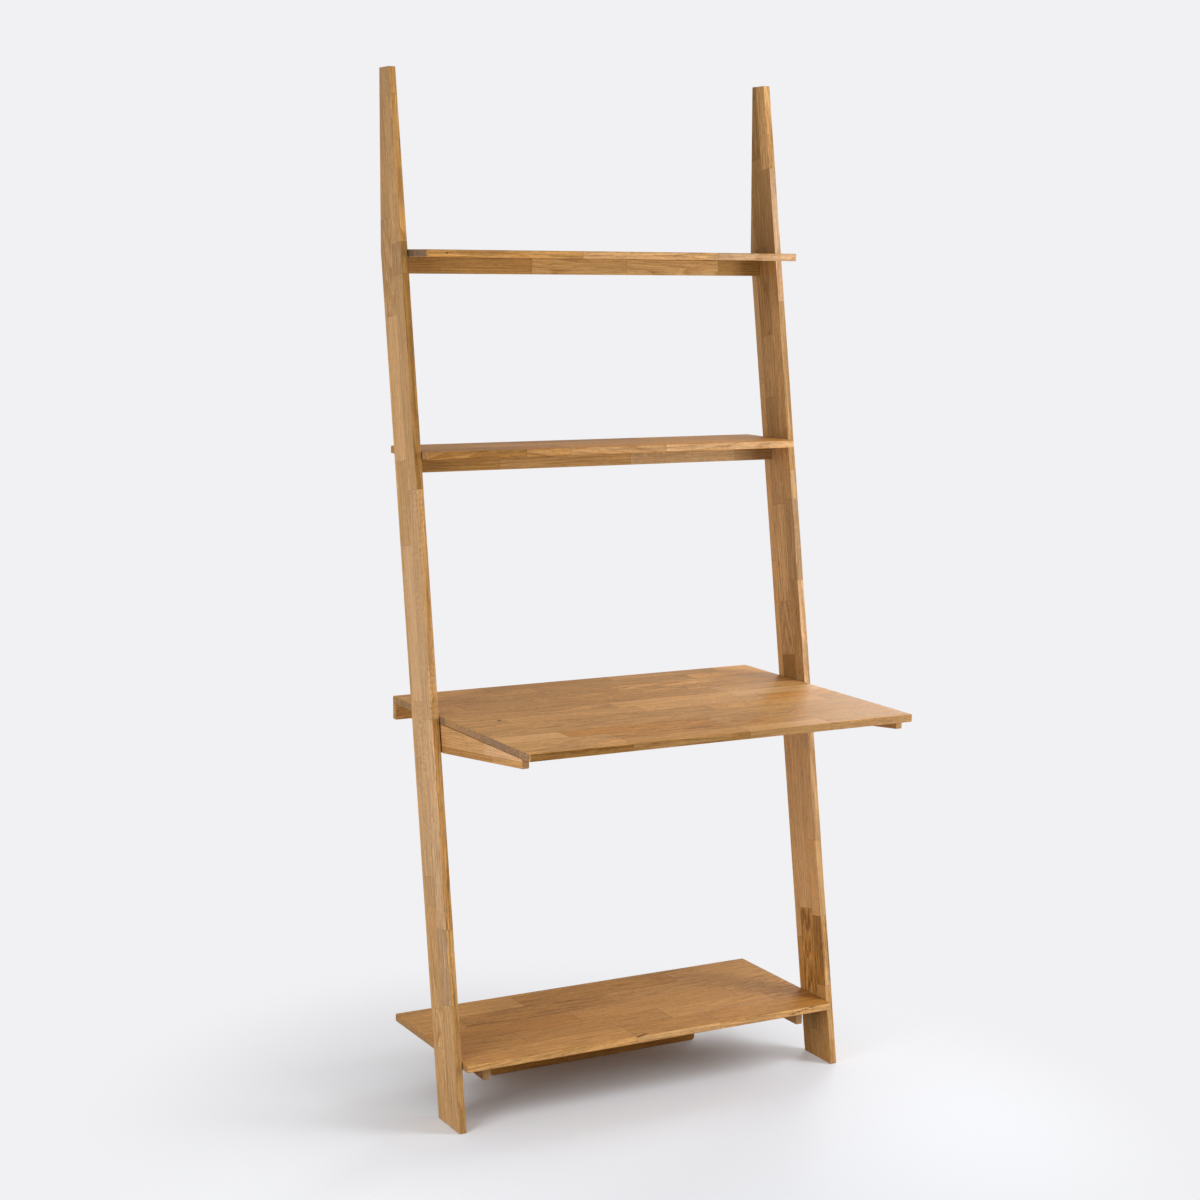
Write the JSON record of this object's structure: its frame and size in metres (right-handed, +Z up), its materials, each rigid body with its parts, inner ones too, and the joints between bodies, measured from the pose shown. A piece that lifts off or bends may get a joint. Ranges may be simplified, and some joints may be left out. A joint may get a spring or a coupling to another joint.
{
  "type": "ladder desk",
  "caption": "Leaning ladder desk in oiled oak: sloping side rails carry a deep writing surface on tapered brackets, with open shelves above and below it.",
  "frame": {"origin": "centre of the overall box's underside, on the floor between the rails", "axes": "+Z up, +Y towards the wall that the desk leans on, so the writing surface's front edge faces -Y, and +X to the right for someone who stands in front of it"},
  "size_m": [0.8, 0.605, 1.9],
  "materials": {
    "oiled_oak_rails": "oiled, satin",
    "oiled_oak_boards": "oiled, satin",
    "oiled_oak_battens": "oiled, satin",
    "beech_dowel": "bare, fluted",
    "cast_zinc": "as cast",
    "zinc_plated_steel": "bright zinc",
    "brass_insert": "plain",
    "nylon_spacer": "moulded"
  },
  "bodies": {
    "root": {"left_rail": "oiled_oak_rails", "right_rail": "oiled_oak_rails", "top_shelf": "oiled_oak_boards", "middle_shelf": "oiled_oak_boards", "desk_top": "oiled_oak_boards", "bottom_shelf": "oiled_oak_boards", "top_apron": "oiled_oak_battens", "middle_apron": "oiled_oak_battens", "desk_apron": "oiled_oak_battens", "left_desk_bracket": "oiled_oak_battens", "right_desk_bracket": "oiled_oak_battens", "left_shelf_cleat": "oiled_oak_battens", "right_shelf_cleat": "oiled_oak_battens", "rear_foot": "oiled_oak_battens", "apron_dowels": "beech_dowel", "shelf_dowels": "beech_dowel", "cam_housings": "cast_zinc", "cam_connectors": "zinc_plated_steel", "bracket_bolts": "zinc_plated_steel", "bracket_insert_nuts": "brass_insert", "bracket_spacers": "nylon_spacer", "bracket_screws": "zinc_plated_steel", "apron_screws": "zinc_plated_steel", "cleat_screws": "zinc_plated_steel", "foot_angles": "zinc_plated_steel", "angle_screws": "zinc_plated_steel"}
  },
  "joints": []
}
